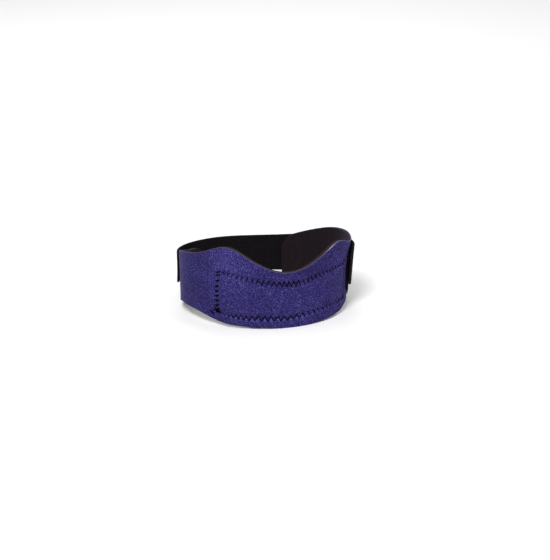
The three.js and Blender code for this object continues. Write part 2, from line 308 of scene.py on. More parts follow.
# A bar tack at each lower corner, the first with two strands across it
tack_legs = satin([(-48.4, 10.55), (-47.8, 9.3)], width=3.7, slope=-0.15, strands=3,
                  radius=TACK_THREAD_RADIUS, rise=0.5, seed=11)
tack_legs += satin([(-47.9, 9.9)], width=2.2, slope=1.1, strands=2,
                   radius=TACK_THREAD_RADIUS, rise=0.75, seed=12, spread=0.7)
tack_legs += satin([(50.6, 9.7)], width=2.2, slope=0.2, strands=5, radius=0.26, rise=0.4, seed=13)
# Loose ends of thread at the sewn side's corners
stray_legs = [Leg(-54.6, 9.2, -51.6, 8.1, 0.20, 0.5), Leg(-52.8, 8.3, -50.8, 7.2, 0.30, 0.5),
              Leg(-51.6, 9.1, -49.4, 10.7, 0.22, 0.3), Leg(-42.6, 33.6, -40.9, 35.0, 0.22, 0.35)]
outline_legs = upper_legs + lower_legs + sewn_side_legs + fastened_side_legs + tack_legs + stray_legs
# Fabric that puffs up between two stitches, as (length, height) of each puff's middle
lower_puffs = [(leg.s1, leg.h0 - 0.1) for leg in lower_legs[::2]]
upper_puffs = [(leg.s0, leg.h1 + 0.1) for leg in upper_legs[::2]]

# Relief of the outer fabric
OUTLINE_FADE_START = 46.0
OUTLINE_FADE_END = 52.0
SWELL_START = 0.2
SWELL_END = 3.4
CHANNEL_WIDTH = 1.5
SIDE_CHANNEL_WIDTH = 1.3
MARGIN_SWELL = 0.25
WAVE_HEIGHT = 0.09
WAVE_LENGTH = 17
FABRIC_DROP = 0.05
GROOVE_DEPTH = 0.34
GROOVE_WIDTH = 0.5
HOLE_DEPTH = 0.6
HOLE_WIDTH = 0.55
LEAST_PULL = 0.3
PULL_BY_RISE = 1.1
SUNK_RISE = -0.4
LEG_REACH = 4
PUFF_REACH = 3
PUFF_LENGTH = 1.15
PUFF_HEIGHT = 1.25
LOWER_PUFF_RISE = 0.55
UPPER_PUFF_RISE = 0.2
# Painted highlights on the nap just above the lower puffs, weaker towards the fastened side
SPOT_ABOVE_PUFF = 1.1
SPOT_FADE = 0.7
SPOT_FADE_START = -8
SPOT_FADE_END = 10


def along_seams(s):
    """1 where the band has its two long seams, falling to 0 past their ends."""
    return 1 - smoothstep(np.abs(s), OUTLINE_FADE_START, OUTLINE_FADE_END)


def distance_to_seam(s, h):
    return np.minimum(np.abs(h - seam_height(LOWER, s)), np.abs(h - seam_height(UPPER, s)))


def outline_inside(s, h):
    """1 inside the stitched outline, falling to 0 at its end seams."""
    sewn = smoothstep(s, sewn_seam_place(h) + SWELL_START, sewn_seam_place(h) + SWELL_END)
    fastened = smoothstep(s, FASTENED_SEAM_PLACE - SWELL_END, FASTENED_SEAM_PLACE - SWELL_START)
    return sewn * (1 - fastened)


def outer_face(s, h):
    """How far the outer fabric stands out, apart from what its stitches draw in."""
    low, high = seam_height(LOWER, s), seam_height(UPPER, s)
    share = (h - low) / (high - low)
    between = np.clip(4 * share * (1 - share), 0, 1)
    swell = PAD_SWELL * outline_inside(s, h) * np.sqrt(between)
    reach = along_seams(s)
    channel = SEAM_DEPTH * reach * np.exp(-(distance_to_seam(s, h) / CHANNEL_WIDTH) ** 2)
    upright = np.minimum(np.abs(s - sewn_seam_place(h)), np.abs(s - FASTENED_SEAM_PLACE))
    in_height = smoothstep(share, -0.08, 0.02) * (1 - smoothstep(share, 0.98, 1.08))
    side_channel = SEAM_DEPTH * in_height * np.exp(-(upright / SIDE_CHANNEL_WIDTH) ** 2)
    channel = np.maximum(channel, side_channel)
    below = np.clip((h - band_edge(LOWER, s)) / (low - band_edge(LOWER, s)), 0, 1)
    above = np.clip((band_edge(UPPER, s) - h) / (band_edge(UPPER, s) - high), 0, 1)
    margin = MARGIN_SWELL * reach * (np.sin(pi * below) + 0.6 * np.sin(pi * above))
    wave = WAVE_HEIGHT * lattice_noise(s + 300, h + 60, cell=WAVE_LENGTH, seed=21)
    return swell - channel + margin * ((share < 0) | (share > 1)) + wave - FABRIC_DROP


def stitch_pull(s, h, legs):
    """How far the stitches draw the fabric in: a groove under each leg and a dimple at its ends.
    Legs that are sunk in the nap draw it in less."""
    groove = np.zeros(np.broadcast(s, h).shape)
    for s0, h0, s1, h1, _, rise in legs:
        near = (np.abs(s - (s0 + s1) / 2) < LEG_REACH) & (np.abs(h - (h0 + h1) / 2) < LEG_REACH)
        if not near.any():
            continue
        along, up = s[near] - s0, h[near] - h0
        run, climb = s1 - s0, h1 - h0
        t = np.clip((along * run + up * climb) / (run * run + climb * climb), 0, 1)
        away = np.hypot(along - t * run, up - t * climb)
        hole = np.minimum(np.hypot(along, up), np.hypot(along - run, up - climb))
        held = np.clip(LEAST_PULL + PULL_BY_RISE * (rise - SUNK_RISE), LEAST_PULL, 1)
        pull = held * np.maximum(GROOVE_DEPTH * np.exp(-(away / GROOVE_WIDTH) ** 2),
                                 HOLE_DEPTH * np.exp(-(hole / HOLE_WIDTH) ** 2))
        groove[near] = np.maximum(groove[near], pull)
    return groove


def puff_rise(s, h, puffs, rise):
    """How far the fabric puffs up between stitches."""
    total = np.zeros(np.broadcast(s, h).shape)
    for s0, h0 in puffs:
        near = (np.abs(s - s0) < PUFF_REACH) & (np.abs(h - h0) < PUFF_REACH)
        away = ((s[near] - s0) / PUFF_LENGTH) ** 2 + ((h[near] - h0) / PUFF_HEIGHT) ** 2
        total[near] = np.maximum(total[near], rise * np.exp(-away))
    return total


def puff_painted_highlight(s, h):
    """Painted highlight on the nap just above each lower puff, where the light catches it, from 0 to
    1, weaker towards the fastened side.
    """
    spots = [(s0, h0 + SPOT_ABOVE_PUFF) for s0, h0 in lower_puffs]
    fade = 1 - SPOT_FADE * smoothstep(s, SPOT_FADE_START, SPOT_FADE_END)
    return puff_rise(s, h, spots, 1.0) * fade


def nap(s, h):
    """Uneven brushed surface of the fabric."""
    return (0.012 * lattice_noise(s + 400, h, cell=1.3, seed=31)
            + 0.045 * lattice_noise(s + 400, h + 9, cell=0.8, seed=32))


# Mesh building
def strip_ring(outer_rows, inner_rows, rounding, border_steps=4):
    """Closed cross-section of a strip. Each point has a share of the way up, a share of the way
    through, and a step up and outward in millimetres for the rounding of the edges. Also gives the
    part that each side of the ring belongs to: 0 outer face, 1 border, 2 inner face."""
    turns = np.linspace(0, pi / 2, border_steps + 1)[1:]

    def border(level, sign, first, second):
        """Rounded edge from one face to the other, at the top or the bottom of the strip."""
        return [(level, face, sign * rounding * np.sin(turn),
                 -(1 - 2 * face) * rounding * (1 - np.cos(turn)), 1)
                for face, angles in ((first, turns), (second, turns[::-1][1:])) for turn in angles]

    outer = [(share, 0, 0, 0, 0) for share in np.linspace(0, 1, outer_rows)]
    inner = [(share, 1, 0, 0, 2) for share in np.linspace(1, 0, inner_rows)]
    outer[-1] = (1, 0, 0, 0, 1)
    inner[-1] = (0, 1, 0, 0, 1)
    rows = outer + border(1, 1, 0, 1) + inner + border(0, -1, 1, 0)
    up, through, rise, press, part = np.array(rows, float).T
    return {
        "up": up, "through": through, "rise": rise, "press": press, "part": part.astype(int),
        "rounding": rounding, "top": outer_rows - 1 + border_steps, "bottom": len(up) - border_steps,
    }


def stations(start, end, radius, rounding, coarse, fine=None, fine_from=0, fine_to=0):
    """Places along a strip, close together at its rounded ends and, where fine is given, between
    fine_from and fine_to."""
    corner = np.concatenate([
        rounding * (1 - np.cos(np.linspace(0, pi / 2, 4))),
        rounding + (radius - rounding) * (1 - np.cos(np.linspace(0, pi / 2, 13)[1:]))])
    cuts = [start + radius]
    while cuts[-1] < end - radius:
        fine_here = fine is not None and fine_from <= cuts[-1] <= fine_to
        cuts.append(cuts[-1] + (fine if fine_here else coarse))
    shares = (np.array(cuts) - cuts[0]) / (cuts[-1] - cuts[0])
    middle = start + radius + shares * (end - start - 2 * radius)
    return np.unique(np.round(np.concatenate([start + corner, middle, end - corner]), 5))


def zip_chains(a, b, ta, tb):
    """Triangles between two chains of points that share their first and last point."""
    faces, i, j = [], 0, 0
    while i < len(a) - 1 or j < len(b) - 1:
        if j == len(b) - 1 or (i < len(a) - 1 and ta[i + 1] <= tb[j + 1]):
            face, i = (a[i], a[i + 1], b[j]), i + 1
        else:
            face, j = (a[i], b[j + 1], b[j]), j + 1
        if len(set(face)) == 3:
            faces.append(face)
    return faces


def strip_piece(name, places, ring, low, high, outer, inner, ends, radii, materials, tone=None):
    """Sweeps a ring along a strip and closes both ends. low, high, outer and inner are functions:
    the strip's edges by place, and its two faces by place and height. radii are those of the lower
    and the upper corner at the first end, then at the last one. The last argument is a function for
    the painted highlight spots on the outer face."""
    s = places[:, None]
    rounding = ring["rounding"]
    from_end = np.minimum(s - ends[0], ends[1] - s)
    inset = [corner_inset(s - ends[0], radii[k]) + corner_inset(ends[1] - s, radii[k + 2])
             for k in (0, 1)]
    bottom, top = low(s) + inset[0] + rounding, high(s) - inset[1] - rounding
    height = bottom + (top - bottom) * ring["up"] + ring["rise"]
    thin = corner_inset(from_end, rounding) * (2 * ring["through"] - 1)
    s = np.broadcast_to(s, height.shape)
    outward = (outer(s, height) * (1 - ring["through"]) + inner(s, height) * ring["through"]
               + ring["press"] + thin)
    points = loop_point(s, outward, height)
    rows, columns = height.shape
    i, j = np.meshgrid(np.arange(rows - 1), np.arange(columns), indexing="ij")
    k = (j + 1) % columns
    quads = [i * columns + j, (i + 1) * columns + j, (i + 1) * columns + k, i * columns + k]
    faces = np.stack(quads, -1).reshape(-1, 4).tolist()
    parts = np.broadcast_to(ring["part"], (rows - 1, columns)).reshape(-1).tolist()
    top_index, bottom_index = ring["top"], ring["bottom"]
    front = [q % columns for q in range(bottom_index, top_index + columns + 1)]
    back = list(range(bottom_index, top_index - 1, -1))
    for row, flip in ((0, False), (rows - 1, True)):
        ha, hb = height[row, front], height[row, back]
        cap = zip_chains([row * columns + q for q in front], [row * columns + q for q in back],
                         (ha - ha[0]) / (ha[-1] - ha[0]),
                         (hb - hb[0]) / (hb[-1] - hb[0]))
        faces += [tuple(reversed(face)) if flip else face for face in cap]
        parts += [1] * len(cap)
    maps = {"course": np.stack([s, height], -1).reshape(-1, 2) / COURSE_UNIT}
    # Map of the painted highlight spots, on the outer face only
    if tone is not None:
        lighter = tone(s, height) * (ring["through"] == 0)
        maps["tone"] = np.stack([lighter, 0 * lighter], -1).reshape(-1, 2)
    return add_piece(name, points.reshape(-1, 3), faces, parts, materials, maps)


def add_object(name, data):
    item = bpy.data.objects.new(name, data)
    bpy.context.scene.collection.objects.link(item)
    return item


def add_piece(name, points, faces, parts, materials, maps=None):
    """A mesh object from points in millimetres, with its faces turned outward. maps holds a pair of
    values for each point, by the name of the map."""
    points = np.asarray(points) / 1000
    a, b, c, d = (points[[face[k] for face in faces]] for k in (0, 1, 2, -1))
    volume = (a * np.cross(b, c)).sum() + (a * np.cross(c, d)).sum()
    if volume < 0:
        faces = [tuple(reversed(face)) for face in faces]
    mesh = bpy.data.meshes.new(name)
    mesh.from_pydata(points.tolist(), [], faces)
    mesh.polygons.foreach_set("material_index", np.array(parts, dtype=np.int32))
    mesh.polygons.foreach_set("use_smooth", np.ones(len(faces), dtype=bool))
    for item in materials:
        mesh.materials.append(item)
    corner = np.empty(len(mesh.loops), dtype=np.int32)
    mesh.loops.foreach_get("vertex_index", corner)
    for map_name, values in (maps or {}).items():
        layer = mesh.uv_layers.new(name=map_name)
        layer.data.foreach_set("uv", values[corner].reshape(-1).astype(np.float32))
    mesh.update()
    piece = add_object(name, mesh)
    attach(piece, "root")
    return piece


def tube_sides(first, rings, sides):
    """Faces round a tube whose rings of points follow each other from a first point."""
    faces = []
    for start in range(first, first + (rings - 1) * sides, sides):
        for j in range(sides):
            k = (j + 1) % sides
            faces.append((start + j, start + k, start + sides + k, start + sides + j))
    return faces


def thread_piece(name, legs, face, side, material, stations_per_leg=7, sides=6):
    """Tubes that follow stitch legs over a face. side is 1 on an outer face and -1 on an inner one."""
    t = np.linspace(0, 1, stations_per_leg)
    arch = np.sin(pi * t) ** 0.6
    angles = np.linspace(0, 2 * pi, sides, endpoint=False)
    points, faces, count = [], [], 0
    for s0, h0, s1, h1, radius, rise in legs:
        s, h = s0 + (s1 - s0) * t, h0 + (h1 - h0) * t
        out = face(s, h) + side * (-THREAD_SINK + (THREAD_SINK + rise - 0.2) * arch)
        centre = loop_point(s, out, h)
        along = np.gradient(centre, axis=0)
        along /= np.linalg.norm(along, axis=1, keepdims=True)
        normal = outward_direction(s)
        normal = normal - (normal * along).sum(1, keepdims=True) * along
        normal /= np.linalg.norm(normal, axis=1, keepdims=True)
        across = np.cross(along, normal)
        taper = radius * (1 - 0.25 * (2 * t - 1) ** 4)
        tube = (centre[:, None, :] + taper[:, None, None]
                * (np.cos(angles)[None, :, None] * normal[:, None, :]
                   + np.sin(angles)[None, :, None] * across[:, None, :]))
        points += [tube.reshape(-1, 3), centre[:1] - along[:1] * radius * 0.5,
                   centre[-1:] + along[-1:] * radius * 0.5]
        faces += tube_sides(count, stations_per_leg, sides)
        last = count + (stations_per_leg - 1) * sides
        start_tip, end_tip = last + sides, last + sides + 1
        for j in range(sides):
            k = (j + 1) % sides
            faces.append((count + k, count + j, start_tip))
            faces.append((last + j, last + k, end_tip))
        count += stations_per_leg * sides + 2
    return add_piece(name, np.concatenate(points), faces, [0] * len(faces), [material])


# Materials
def shader(name, roughness, sheen=0.0, sheen_roughness=0.5, sheen_tint=(1, 1, 1), specular=0.5):
    item = bpy.data.materials.new(name)
    item.use_nodes = True
    surface = item.node_tree.nodes["Principled BSDF"]
    surface.inputs["Roughness"].default_value = roughness
    surface.inputs["Specular IOR Level"].default_value = specular
    surface.inputs["Sheen Weight"].default_value = sheen
    surface.inputs["Sheen Roughness"].default_value = sheen_roughness
    surface.inputs["Sheen Tint"].default_value = (*sheen_tint, 1)
    return item, item.node_tree, surface


def noise(tree, scale, detail, source=None, stretch=None):
    """Noise with its scale in features per metre, read from the object's own coordinates."""
    texture = tree.nodes.new("ShaderNodeTexNoise")
    texture.inputs["Scale"].default_value = scale
    texture.inputs["Detail"].default_value = detail
    if source is None:
        source = tree.nodes.new("ShaderNodeTexCoord").outputs["Object"]
    if stretch is not None:
        mapping = tree.nodes.new("ShaderNodeMapping")
        mapping.inputs["Scale"].default_value = stretch
        tree.links.new(source, mapping.inputs["Vector"])
        source = mapping.outputs["Vector"]
    tree.links.new(source, texture.inputs["Vector"])
    return texture.outputs["Fac"]


def combine(tree, operation, a, b):
    """A maths node on two values, each a socket or a number."""
    node = tree.nodes.new("ShaderNodeMath")
    node.operation = operation
    for value, socket in zip((a, b), node.inputs):
        if isinstance(value, (int, float)):
            socket.default_value = value
        else:
            tree.links.new(value, socket)
    return node.outputs["Value"]


def add_scaled(tree, total, socket, weight):
    """A socket times its weight, added to a total."""
    return combine(tree, "ADD", total, combine(tree, "MULTIPLY", socket, weight))


def colour(tree, factor, stops, surface):
    """Base colour from a ramp with stops (position, colour) over a factor."""
    node = tree.nodes.new("ShaderNodeValToRGB")
    while len(node.color_ramp.elements) < len(stops):
        node.color_ramp.elements.new(0.5)
    for element, (position, value) in zip(node.color_ramp.elements, stops):
        element.position = position
        element.color = (*value, 1)
    tree.links.new(factor, node.inputs["Fac"])
    tree.links.new(node.outputs["Color"], surface.inputs["Base Color"])


def bump(tree, height, distance, strength, surface):
    node = tree.nodes.new("ShaderNodeBump")
    node.inputs["Distance"].default_value = distance
    node.inputs["Strength"].default_value = strength
    tree.links.new(height, node.inputs["Height"])
    tree.links.new(node.outputs["Normal"], surface.inputs["Normal"])


def piece_map(tree, name="course"):
    """One of the maps that add_piece gives a mesh."""
    node = tree.nodes.new("ShaderNodeUVMap")
    node.uv_map = name
    return node.outputs["UV"]


def first_value(tree, name):
    """First of the two values in one of the maps."""
    split = tree.nodes.new("ShaderNodeSeparateXYZ")
    tree.links.new(piece_map(tree, name), split.inputs["Vector"])
    return split.outputs["X"]


def nap_patch(tree, length, height, reach):
    """1 at a place on the band, falling to 0 at a distance (along, up) from it in millimetres."""
    mapping = tree.nodes.new("ShaderNodeMapping")
    mapping.inputs["Location"].default_value = (-length / reach[0], -height / reach[1], 0)
    mapping.inputs["Scale"].default_value = (COURSE_UNIT / reach[0], COURSE_UNIT / reach[1], 1)
    tree.links.new(piece_map(tree), mapping.inputs["Vector"])
    gradient = tree.nodes.new("ShaderNodeTexGradient")
    gradient.gradient_type = "SPHERICAL"
    tree.links.new(mapping.outputs["Vector"], gradient.inputs["Vector"])
    return gradient.outputs["Fac"]


# Noises of the nap, in features per metre, or per unit of the "course" map for the coarse one
CLUMP_SCALE = 1420
FIBRE_SCALE = 2600
DRIFT_SCALE = 70
COARSE_SCALE = 165
COARSE_STRETCH = (0.6, 1, 1)
# How much lighter the painted highlight over a puff makes the nap
PUFF_HIGHLIGHT_TONE = 0.11


def napped_fabric(name, stops, sheen_tint, sheen, painted_light_patches, coarse_patches):
    """Brushed fabric: clumps of fibre under a millimetre across over finer ones. The patches that are
    not coarse hold (length, height, reach, weight) for each place where light is painted in as a
    lighter nap or shade as a darker one, and coarse_patches the same for each place where it is
    coarser along the band."""
    item, tree, surface = shader(name, 0.95, sheen, 0.2, sheen_tint, specular=0.1)
    clumps = noise(tree, CLUMP_SCALE, 1)
    fibres = noise(tree, FIBRE_SCALE, 2)
    drift = noise(tree, DRIFT_SCALE, 2)
    mixed = add_scaled(tree, combine(tree, "MULTIPLY", clumps, 0.52), fibres, 0.40)
    mixed = add_scaled(tree, mixed, drift, 0.08)
    toned = mixed
    # Painted light and painted shade: the nap is painted lighter or darker at the given places
    for length, height, reach, weight in painted_light_patches:
        toned = add_scaled(tree, toned, nap_patch(tree, length, height, reach), weight)
    coarse = noise(tree, COARSE_SCALE, 1, piece_map(tree), COARSE_STRETCH)
    coarse = combine(tree, "SUBTRACT", coarse, 0.5)
    for length, height, reach, weight in coarse_patches:
        patch = combine(tree, "MULTIPLY", nap_patch(tree, length, height, reach), weight)
        toned = add_scaled(tree, toned, patch, coarse)
    # Painted highlight over the lower puffs
    toned = add_scaled(tree, toned, first_value(tree, "tone"), PUFF_HIGHLIGHT_TONE)
    colour(tree, toned, stops, surface)
    bump(tree, mixed, 0.0006, 0.8, surface)
    return item


# Colours of the cut edge by share of the band's length. Light is painted in: the fastened half is
# painted lighter than the sewn half, and a painted highlight is palest on the fastened side's slope
EDGE_STOPS_WITH_PAINTED_LIGHT = [
    (0.0, (0.040, 0.031, 0.075)), (0.54, (0.042, 0.034, 0.078)), (0.60, (0.050, 0.041, 0.085)),
    (0.621, (0.080, 0.066, 0.110)), (0.631, (0.250, 0.215, 0.300)), (0.638, (0.250, 0.215, 0.300)),
    (0.648, (0.100, 0.085, 0.170)), (0.69, (0.070, 0.057, 0.130)), (1.0, (0.070, 0.057, 0.130)),
]


def cut_edge(name):
    """Cut edge of the outer fabric, where its backing shows, with painted light and a painted
    highlight along it.
    """
    item, tree, surface = shader(name, 0.95, 0.1, 0.45, (0.8, 0.75, 0.95), specular=0.15)
    along = combine(tree, "MULTIPLY_ADD", first_value(tree, "course"), COURSE_UNIT / (2 * HALF_BAND))
    along.node.inputs[2].default_value = 0.5
    fibres = noise(tree, 1600, 2)
    uneven = combine(tree, "MULTIPLY_ADD", fibres, 0.04)
    tree.links.new(along, uneven.node.inputs[2])
    colour(tree, uneven, EDGE_STOPS_WITH_PAINTED_LIGHT, surface)
    bump(tree, fibres, 0.0004, 0.5, surface)
    return item


def foam(name, stops):
    """Closed-cell foam where it was cut."""
    item, tree, surface = shader(name, 0.9, specular=0.05)
    cells = tree.nodes.new("ShaderNodeTexVoronoi")
    cells.inputs["Scale"].default_value = 2600
    tree.links.new(tree.nodes.new("ShaderNodeTexCoord").outputs["Object"], cells.inputs["Vector"])
    colour(tree, cells.outputs["Distance"], stops, surface)
    bump(tree, cells.outputs["Distance"], 0.0003, 0.6, surface)
    return item


def knit(name, dark, light, pitches, roughness=0.85, depth=0.0003, sheen=0.01, tint=(0.5, 0.4, 0.5)):
    """Knitted or woven tape with ribs on its own course, at pitches (along, across) in millimetres,
    and a little uneven colour."""
    item, tree, surface = shader(name, roughness, sheen, 0.4, tint, specular=0.05)
    course = piece_map(tree)
    waves = []
    for direction, pitch in zip("XY", pitches):
        wave = tree.nodes.new("ShaderNodeTexWave")
        wave.bands_direction = direction
        wave.inputs["Scale"].default_value = COURSE_UNIT / pitch * pi / 10
        wave.inputs["Distortion"].default_value = 0.4
        wave.inputs["Detail Scale"].default_value = 3.0
        tree.links.new(course, wave.inputs["Vector"])
        waves.append(wave.outputs["Fac"])
    weave = combine(tree, "MULTIPLY", *waves)
    uneven = noise(tree, 900, 3)
    mixed = add_scaled(tree, combine(tree, "MULTIPLY", weave, 0.55), uneven, 0.45)
    colour(tree, mixed, [(0.2, dark), (0.8, light)], surface)
    bump(tree, mixed, depth, 0.7, surface)
    return item


def thread_material(name, dark, light):
    item, tree, surface = shader(name, 0.8, specular=0.02)
    ply = noise(tree, 2500, 2)
    colour(tree, ply, [(0.3, dark), (0.75, light)], surface)
    bump(tree, ply, 0.0002, 0.5, surface)
    return item


# The outer fabric's nap has painted light on the upper part of the sewn side and painted shade on the
# upper part of the fastened side
BLUE = napped_fabric(
    "band_fabric_blue",
    stops=[(0.36, (0.0042, 0.0031, 0.0195)), (0.47, (0.0142, 0.0107, 0.0655)),
           (0.55, (0.0260, 0.0203, 0.114)), (0.68, (0.088, 0.073, 0.265))],
    sheen_tint=(0.50, 0.42, 0.75), sheen=0.15,
    painted_light_patches=[(-41, 40, (22, 24), 0.045), (16, 36, (26, 10), -0.035)],
    coarse_patches=[(-68, 25, (26, 70), 0.45), (42, 25, (34, 70), 0.5)])
LILAC_EDGE = cut_edge("band_fabric_edge")
FOAM = foam("band_core_foam", stops=[(0.0, (0.009, 0.006, 0.009)), (0.5, (0.028, 0.019, 0.026))])
LINING = knit("band_lining_knit", (0.006, 0.004, 0.005), (0.024, 0.017, 0.021), (0.9, 0.7),
              roughness=0.9, sheen=0.05, tint=(0.6, 0.5, 0.6))
PAD_COVER = knit("pad_cover_knit", (0.014, 0.012, 0.014), (0.045, 0.038, 0.043), (1.2, 1.2),
                 roughness=0.9, depth=0.0004, sheen=0.08, tint=(0.6, 0.6, 0.7))
WEBBING = knit("strap_webbing_weave", (0.0020, 0.0016, 0.0022), (0.0130, 0.0105, 0.0135), (0.9, 1.3))
WEBBING_EDGE = knit("strap_webbing_edge", (0.004, 0.0025, 0.0038), (0.017, 0.010, 0.014), (0.8, 0.6),
                    tint=(0.6, 0.4, 0.5))
HOOK_TAPE = knit("hook_tape_weave", (0.0020, 0.0015, 0.0020), (0.0085, 0.0065, 0.0085), (1.0, 1.0),
                 roughness=0.8, tint=(0.5, 0.5, 0.5))
THREAD = thread_material("seam_thread_black", (0.0005, 0.0004, 0.0008), (0.0022, 0.0018, 0.0034))
STRAP_THREAD = thread_material("strap_thread_black", (0.008, 0.007, 0.009), (0.032, 0.028, 0.034))


# Band
LAYER_ROUNDING = 0.25
band_ends = (-HALF_BAND, HALF_BAND)
band_places = stations(*band_ends, BAND_END_RADIUS, FABRIC_ROUNDING,
                       fine=0.42, coarse=0.75, fine_from=-62, fine_to=60)
coarse_places = stations(*band_ends, BAND_END_RADIUS, FABRIC_ROUNDING, coarse=1.2)


def level(depth):
    """A face at the same depth all over, below the band's outer face."""
    return lambda s, h: np.full_like(h, -depth)


def band_low(s):
    return band_edge(LOWER, s)


def band_high(s):
    return band_edge(UPPER, s)


outer_fabric = strip_piece(
    "band_outer_fabric", band_places, strip_ring(96, 14, FABRIC_ROUNDING), band_low, band_high,
    lambda s, h: (outer_face(s, h) - stitch_pull(s, h, outline_legs) + nap(s, h)
                  + puff_rise(s, h, lower_puffs, LOWER_PUFF_RISE)
                  + puff_rise(s, h, upper_puffs, UPPER_PUFF_RISE)),
    lambda s, h: outer_face(s, h) - FABRIC_THICKNESS,
    band_ends, (BAND_END_RADIUS,) * 4, [BLUE, LILAC_EDGE, FOAM], puff_painted_highlight)
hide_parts("neoprene_band")

core = strip_piece(
    "band_core", coarse_places, strip_ring(24, 12, LAYER_ROUNDING),
    lambda s: band_low(s) + CORE_SETBACK, lambda s: band_high(s) - CORE_SETBACK,
    lambda s, h: outer_face(s, h) - CORE_START, level(CORE_END),
    band_ends, (BAND_END_RADIUS,) * 4, [FOAM] * 3)
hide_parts("neoprene_band")


LINING_CHANNEL_DEPTH = 0.25
LINING_CHANNEL_WIDTH = 1.2


def lining_face(s, h):
    """Inner face of the lining, drawn in along the seams."""
    drawn_in = LINING_CHANNEL_DEPTH * np.exp(-(distance_to_seam(s, h) / LINING_CHANNEL_WIDTH) ** 2)
    return -BAND_THICKNESS + along_seams(s) * drawn_in


lining = strip_piece(
    "band_lining", coarse_places, strip_ring(10, 40, LAYER_ROUNDING), band_low, band_high,
    level(LINING_START), lining_face, band_ends, (BAND_END_RADIUS,) * 4, [LINING] * 3)
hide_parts("neoprene_band")

# Seams on the outer face, and the same seams where they come through the lining
for name, legs in (("seam_upper", upper_legs), ("seam_lower", lower_legs),
                   ("seam_sewn_side", sewn_side_legs + stray_legs),
                   ("seam_fastened_side", fastened_side_legs), ("seam_bar_tack", tack_legs)):
    piece = thread_piece(name, legs, outer_face, 1, THREAD, stations_per_leg=9, sides=8)
inside_legs = [leg._replace(radius=LOWER_THREAD_RADIUS, rise=0.2)
               for leg in upper_legs + lower_legs + sewn_side_legs + fastened_side_legs]
piece = thread_piece("seam_inside", inside_legs, lining_face, -1, THREAD)

# Pressure pad
PAD_ROUNDING = 0.85
PAD_GROOVE_DEPTH = 0.3
PAD_GROOVE_WIDTH = 0.7
PAD_STITCH_MARGIN = 2.4
PAD_STITCH = {"length": 2.6, "gap": 0.8, "radius": 0.2, "rise": 0.12}
PAD_BACK = BAND_THICKNESS + 0.04
pad_start = PAD_SEAM_MARGIN - OUTLINE_SEWN_REACH
pad_end = OUTLINE_FASTENED_REACH - PAD_SEAM_MARGIN
pad_length = pad_end - pad_start
pad_end_radius = (seam_height(UPPER, 0.0) - seam_height(LOWER, 0.0)) / 4


def pad_low(s):
    return seam_height(LOWER, s) + PAD_SEAM_MARGIN


def pad_high(s):
    return seam_height(UPPER, s) - PAD_SEAM_MARGIN


def pad_crown(s, h):
    low, high = pad_low(s), pad_high(s)
    up = np.clip((h - low) / (high - low), 0, 1)
    from_end = np.minimum(s - pad_start, pad_end - s)
    taper = np.clip(from_end / (pad_length / 4), 0, 1) ** 0.6
    crown = np.clip(np.sin(pi * up), 0, 1) ** 0.6
    edge = np.minimum(np.minimum(h - low, high - h), from_end)
    groove = PAD_GROOVE_DEPTH * np.exp(-((edge - PAD_STITCH_MARGIN) / PAD_GROOVE_WIDTH) ** 2)
    thickness = PAD_EDGE_THICKNESS + (PAD_THICKNESS - PAD_EDGE_THICKNESS) * crown * taper
    return -PAD_BACK - thickness + groove + 0.05 * lattice_noise(s + 200, h, cell=6, seed=41)


pad = strip_piece(
    "pad_cover", stations(pad_start, pad_end, pad_end_radius, PAD_ROUNDING, coarse=0.8),
    strip_ring(12, 56, PAD_ROUNDING), pad_low, pad_high, level(PAD_BACK), pad_crown,
    (pad_start, pad_end), (pad_end_radius,) * 4, [PAD_COVER] * 3)
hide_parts("pressure_pad")


def running_stitches(path, length, gap, radius, rise):
    """Straight stitches one after another along a path of (length, height) points."""
    path = np.array(path, float)
    steps = np.linalg.norm(np.diff(path, axis=0), axis=1)
    walked = np.concatenate([[0], np.cumsum(steps)])
    count = int(walked[-1] // (length + gap))
    stretch = walked[-1] / count
    legs = []
    for k in range(count):
        a, b = k * stretch + gap / 2, (k + 1) * stretch - gap / 2
        s = np.interp([a, b], walked, path[:, 0])
        h = np.interp([a, b], walked, path[:, 1])
        legs.append(Leg(s[0], h[0], s[1], h[1], radius, rise))
    return legs


pad_run = np.linspace(pad_start + PAD_STITCH_MARGIN + 1, pad_end - PAD_STITCH_MARGIN - 1, 60)
pad_paths = [list(zip(pad_run, pad_high(pad_run) - PAD_STITCH_MARGIN)),
             list(zip(pad_run, pad_low(pad_run) + PAD_STITCH_MARGIN))]
for place in (pad_start + PAD_STITCH_MARGIN, pad_end - PAD_STITCH_MARGIN):
    pad_paths.append([(place, pad_low(place) + PAD_STITCH_MARGIN + 1),
                      (place, pad_high(place) - PAD_STITCH_MARGIN - 1)])
pad_legs = [leg for path in pad_paths for leg in running_stitches(path, **PAD_STITCH)]
piece = thread_piece("pad_stitches", pad_legs, pad_crown, -1, STRAP_THREAD)


# Closure strap
STRAP_ROUNDING = 0.45
RIBBED_WIDTH = 25.2
RIB_PITCH = 1.55
RIB_DEPTH = 0.09
strap_ends = (STRAP_START, STRAP_START + STRAP_LENGTH)


def strap_edge(column, s):
    return BAND_HEIGHT * table_value(STRAP_SECTIONS, column, (s - STRAP_START) / STRAP_LENGTH)


def strap_up(s, h):
    low, high = strap_edge(LOWER, s), strap_edge(UPPER, s)
    return np.clip((h - low) / (high - low), 0, 1)


def strap_inner(s, h):
    hook_end = HOOK_START + HOOK_LENGTH
    on_hook = 1 - smoothstep(s, hook_end, hook_end + HOOK_RAMP_LENGTH)
    up = strap_up(s, h)
    crown = STRAP_CROWN_ON_HOOK * on_hook * (1 - (2 * up - 1) ** 2)
    curl = STRAP_LOWER_CURL * (1 - on_hook) * (1 - up) ** 4
    return LAYER_GAP + on_hook * (HOOK_THICKNESS + LAYER_GAP) + crown + curl


